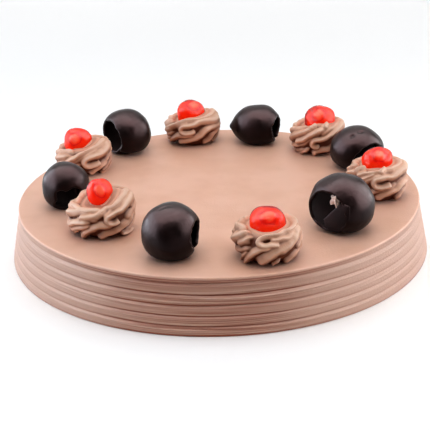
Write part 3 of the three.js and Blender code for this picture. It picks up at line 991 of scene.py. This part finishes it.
sheet = {
    "thickness": 1.6,
    "layerStep": 3.2,
    "stepInFrom": 0.9,
    "tightening": 1.5,
    "innerTaper": 0.45,
    "endPinch": 2.0,
    "ragged": 2.2,          # degrees that the mouth's edge wanders
    "raggedWaves": (3, 5, 8, 13),
    "raggedPace": 0.997,    # a little less than 1, so that one layer's edge isn't quite the next one's
    "waveCount": 4,
    "tipPower": 6,
    "tipReach": 0.35,       # how much longer a pointed tail is
    "uneven": (0.24, 16.0),    # depth and length of its soft waves
    "edgeWidth": (0.03, 0.012),    # shares of the height and of the length over which edges thin
    "sink": 0.8,
    "press": 0.5,           # how far the flat foot reaches into the icing, before the curl is raised
    "raise": 0.3,
    "fullness": 2.6,        # power of the rounded square that the lower half leans to
    "scuffWidth": 0.9,
    "columns": 220,
    "rows": 80,
}


# A sheet wound round a ball: its turn about the axis grows along it, it steps in under its outer edge
# after one turn and curls on inside; latitude runs from tail to mouth. The columns go out along the
# outer face and back along the inner one, and the thickness closes to nothing at every edge.
def curlSheet(curl, seed):
    along, outer = (row[None, :] for row in bothFaces(sheet["columns"]))
    across = (0.5 - 0.5 * np.cos(np.linspace(0, math.pi, sheet["rows"])))[:, None]

    wound = along * curl["turns"]
    turn = math.radians(curl["start"]) + wound * fullTurn
    inside = np.clip(wound - 1, 0, None) / (curl["turns"] - 1)
    depth = sheet["layerStep"] * ease(wound, sheet["stepInFrom"], 1)
    depth = depth + (curl["inward"] - sheet["layerStep"]) * inside ** sheet["tightening"]

    mouthEdge = curl["mouth"] + curl["lip"] * np.cos(turn - math.radians(curl["lipAt"]))
    ragged = ripple(turn * sheet["raggedPace"], sheet["raggedWaves"], seed)
    mouthEdge = mouthEdge + sheet["ragged"] * ragged
    mouthEdge = mouthEdge + curl["wave"] * np.cos(sheet["waveCount"] * turn)
    latitude = between(-curl["tail"], mouthEdge, across)
    latitude = np.radians((1 - sheet["innerTaper"] * inside) * latitude)

    plump = roundedEdges(across, sheet["edgeWidth"][0]) * roundedEdges(along, sheet["edgeWidth"][1])
    half = 0.5 * sheet["thickness"] * plump
    middle = depth + 0.5 * sheet["thickness"]
    below = np.minimum(1, sheet["endPinch"] * np.cos(latitude)) * (middle + half * (1 - 2 * outer))
    pointed = curl["tip"] * np.minimum(0, np.sin(latitude)) ** sheet["tipPower"]
    reach = (curl["radius"] * np.cos(latitude) - below) * (1 - pointed)
    axial = curl["length"] * np.sin(latitude) * (1 - below / curl["radius"])
    axial = axial * (1 + sheet["tipReach"] * pointed ** 2)
    grid = asPoints(axial, reach * np.sin(turn), -reach * np.cos(turn))
    uneven, waveLength = sheet["uneven"]
    grid = grid * (1 + uneven / curl["radius"] * softNoise(grid, waveLength, seed + 1))[..., None]

    lift = math.radians(curl["lift"])
    x = grid[..., 0] * math.cos(lift) - grid[..., 2] * math.sin(lift)
    z = grid[..., 0] * math.sin(lift) + grid[..., 2] * math.cos(lift)
    z = z * np.where(z > 0, curl["dome"], curl["belly"])
    y = grid[..., 1]
    power = sheet["fullness"]
    flat = np.hypot(x, y)
    far = np.hypot(flat, z) + 1e-9
    fuller = ((flat / far) ** power + (np.abs(z) / far) ** power) ** (-1 / power)
    x, y, z = (axis * np.where(z < 0, fuller, 1) for axis in (x, y, z))
    z = np.maximum(z - z.min() - sheet["sink"], -sheet["press"])
    face = math.radians(curl["facing"])
    grid = asPoints(x * math.cos(face) - y * math.sin(face), x * math.sin(face) + y * math.cos(face), z)
    inward = unit(np.array([0, 0, 0.5 * z.max()]) - grid)
    raised = np.array([0, 0, sheet["raise"]])
    for *spot, dent in curl["scuffs"]:
        near = np.exp(-((grid + raised - spot) ** 2).sum(-1) / sheet["scuffWidth"] ** 2)
        grid = grid + inward * (dent * near * outer)[..., None]
    return grid + topPlace(curl) + raised, np.broadcast_to(1 - outer, grid.shape[:2])


# what shows in the mouth of the front right curl, in mm from its place on the cake: a torn leaf between
# its free edge and the rim, and a dab of cream by it
leaf = {
    "edge": ((-10.7, -4.9, 7.8), (-6.4, -9.0, 14.2), (-1.2, -14.1, 21.4)),
    "rim": ((-7.9, -8.6, 2.0), (-1.8, -13.9, 3.5), (2.1, -17.9, 12.2), (2.4, -19.0, 20.9)),
    "bulge": 0.8,
    "thickness": 1.3,
    "edgeWidth": (0.06, 0.08),
    "rows": 30,
    "columns": 24,
    "dab": (-4.9, -10.9, 22.0),
    "dabSize": (1.8, 1.8, 3.3),
    "dabGrid": (28, 40),
    "dabLumps": (0.5, 0.8),    # depth and length, as shares of its size
    "dullFrom": (0.05, 0.12),    # shares from the free edge where gloss gives way to the dull inside
}


# A sheet ruled from the free edge to the rim, bulged by the sine of the share across; the columns go
# over one face and back over the other, and the thickness closes to nothing at every edge
def curlLeaf():
    along = np.linspace(0, 1, leaf["rows"])
    edge, rim = (curveThrough(along, np.linspace(0, 1, len(spots)), np.array(spots))[:, None]
                 for spots in (leaf["edge"], leaf["rim"]))
    share, face = (row[None, :, None] for row in bothFaces(leaf["columns"]))
    along = along[:, None, None]
    third = leaf["rows"] // 3
    outward = unit(np.cross(rim[third, 0] - edge[third, 0], edge[-1, 0] - edge[0, 0]))
    plump = roundedEdges(along, leaf["edgeWidth"][0]) * roundedEdges(share, leaf["edgeWidth"][1])
    rise = leaf["bulge"] * np.sin(math.pi * share) + (face - 0.5) * leaf["thickness"] * plump
    return edge * (1 - share) + rim * share + outward * rise


# A small ball stretched upright, with soft lumps
def creamDab():
    heading = ballHeadings(*leaf["dabGrid"])
    depth, waveLength = leaf["dabLumps"]
    lumps = 1 + depth * softNoise(heading, waveLength, 71)
    return heading * np.array(leaf["dabSize"]) * lumps[..., None] + np.array(leaf["dab"])


for number, (name, curl) in enumerate(curls.items()):
    curl = {**usualCurl, **curl}
    grid, inner = curlSheet(curl, 500 + 10 * number)
    grids = [grid]
    marks = {"inner": [inner], "dab": [0 * inner]}
    if name == "front_right":
        grids += [curlLeaf() + topPlace(curl), creamDab() + topPlace(curl)]
        dull = ease(bothFaces(leaf["columns"])[0], *leaf["dullFrom"]) * np.ones((leaf["rows"], 1))
        marks["inner"] += [dull, np.ones(grids[2].shape[:2])]
        marks["dab"] += [np.full(extra.shape[:2], value) for extra, value in zip(grids[1:], (0.0, 1.0))]
    mesh = meshFromGrids("chocolate_" + name, grids, marks)
    dress(mesh, "curl_" + name, chocolate)
print("curls made")


# Floor, light and camera

studio = {
    "floorTone": tone(245, 245, 245),
    "floorDrop": 0.3,
    "floorFront": -330.0,
    "floorReach": 3000.0,
    "floorRough": 0.7,
    "ambient": 0.05,
    "ambientTone": (1.0, 0.97, 0.94, 1.0),
    "backdrop": 0.9,        # what the camera sees beyond the floor
    "gamma": 0.85,
}


def makeFloor():
    half = studio["floorReach"]
    front = studio["floorFront"]
    corners = np.array([[-half, front], [half, front], [half, half], [-half, half]])
    points = np.column_stack([corners, np.full(4, -studio["floorDrop"])]) * mm
    mesh = bpy.data.meshes.new("floor")
    mesh.from_pydata(points.tolist(), [], [(0, 1, 2, 3)])
    paint = {"Base Color": studio["floorTone"], "Roughness": studio["floorRough"]}
    mesh.materials.append(newMaterial("paleFloor", paint)[0])
    floor = bpy.data.objects.new("floor", mesh)
    bpy.context.scene.collection.objects.link(floor)


# place, aim and size are in mm; glow is the brightness of the panel's face; the panels for matte light
# the soft faces, and those for gloss are seen in the shiny ones
warmTint = (1.04, 1.0, 0.94)
softboxes = {
    "overhead": dict(place=(0, -140, 780), aim=(0, -110, 0), size=(820, 980), glow=1.42, lights="matte",
                     tint=warmTint),
    "frontFill": dict(place=(0, -640, 700), aim=(0, -80, 30), size=(900, 420), glow=0.6, lights="matte",
                      tint=warmTint),
    "leftPanel": dict(place=(-750, -90, 300), aim=(0, -10, 30), size=(760, 600), glow=1.7,
                      lights="matte", tint=(0.83, 1.0, 1.24)),
    "rightPanel": dict(place=(740, -170, 330), aim=(40, -40, 30), size=(760, 600), glow=1.95,
                       lights="matte", tint=(0.9, 1.0, 1.15)),
    "backPanel": dict(place=(0, 1500, 1100), aim=(0, 1100, 0), size=(2400, 900), glow=2.15,
                      lights="both"),
    "topShine": dict(place=(0, 20, 800), aim=(0, 20, 0), size=(1500, 900), glow=11.2, lights="gloss"),
    "leftShine": dict(place=(-790, 75, 400), aim=(0, 75, 400), size=(1050, 800), glow=10.3,
                      lights="gloss", tint=(0.92, 1.0, 1.08)),
    "rightShine": dict(place=(790, -20, 380), aim=(0, -20, 380), size=(1050, 800), glow=11.0,
                       lights="gloss"),
    "backShine": dict(place=(0, 1100, 210), aim=(0, 0, 210), size=(2200, 300), glow=1.6,
                      lights="gloss"),
    "floorPanel": dict(place=(0, 1600, 420), aim=(0, 1600, 0), size=(3000, 1000), glow=1.4,
                       lights="matte"),
}


def makePanel(name, box):
    light = bpy.data.lights.new(name, "AREA")
    light.shape = "RECTANGLE"
    light.size, light.size_y = (side * mm for side in box["size"])
    light.energy = box["glow"] * math.pi * light.size * light.size_y
    light.color = box.get("tint", (1.0, 1.0, 1.0))
    lamp = bpy.data.objects.new(name, light)
    lamp.location = Vector(box["place"]) * mm
    lamp.rotation_mode = "QUATERNION"
    lamp.rotation_quaternion = (Vector(box["aim"]) - Vector(box["place"])).to_track_quat("-Z", "Y")
    lamp.visible_diffuse = box["lights"] != "gloss"
    lamp.visible_glossy = box["lights"] != "matte"
    bpy.context.scene.collection.objects.link(lamp)


def makeLights():
    for name, box in softboxes.items():
        makePanel(name, box)
    world = bpy.data.worlds.new("studio")
    world.use_nodes = True
    tree = world.node_tree
    dim = tree.nodes["Background"]
    dim.inputs["Color"].default_value = studio["ambientTone"]
    dim.inputs["Strength"].default_value = studio["ambient"]
    backdrop = addNode(tree, "ShaderNodeBackground", {"Strength": studio["backdrop"]})
    choose = addNode(tree, "ShaderNodeMixShader")
    tree.links.new(addNode(tree, "ShaderNodeLightPath").outputs["Is Camera Ray"], choose.inputs[0])
    tree.links.new(dim.outputs[0], choose.inputs[1])
    tree.links.new(backdrop.outputs[0], choose.inputs[2])
    tree.links.new(choose.outputs[0], tree.nodes["World Output"].inputs["Surface"])
    bpy.context.scene.world = world


photoView = {
    "distance": 750.0,
    "elevation": 23.641,
    "pitch": 1.21,
    "yaw": -0.2,
    "roll": -1.8,
    "focalPixels": 1204.7,
    "imagePixels": 430,
    "sensor": 36.0,
    "clip": (0.01, 20.0),
}


# Turn two axes of a frame by an angle in their own plane
def turnAxes(first, second, degrees):
    c, s = math.cos(math.radians(degrees)), math.sin(math.radians(degrees))
    return first * c + second * s, second * c - first * s


# Stand back from the middle of the underside at the elevation, then pitch, yaw and roll in turn
def makeCamera():
    view = photoView
    elevation = math.radians(view["elevation"])
    ahead = np.array([0.0, math.cos(elevation), -math.sin(elevation)])
    right = np.array([1.0, 0.0, 0.0])
    up = np.array([0.0, math.sin(elevation), math.cos(elevation)])
    place = -ahead * view["distance"] * mm
    ahead, up = turnAxes(ahead, up, view["pitch"])
    ahead, right = turnAxes(ahead, right, view["yaw"])
    right, up = turnAxes(right, up, view["roll"])
    camera = bpy.data.cameras.new("photoCamera")
    camera.sensor_width = view["sensor"]
    camera.lens = view["focalPixels"] / view["imagePixels"] * view["sensor"]
    camera.clip_start, camera.clip_end = view["clip"]
    holder = bpy.data.objects.new("photoCamera", camera)
    frameAxes = np.eye(4)
    frameAxes[:3] = np.column_stack([right, up, -ahead, place])
    holder.matrix_world = Matrix(frameAxes.tolist())
    bpy.context.scene.collection.objects.link(holder)
    bpy.context.scene.camera = holder


makeFloor()
makeLights()
makeCamera()
bpy.context.scene.view_settings.view_transform = "Standard"
bpy.context.scene.view_settings.look = "None"
bpy.context.scene.view_settings.gamma = studio["gamma"]
print("studio made")
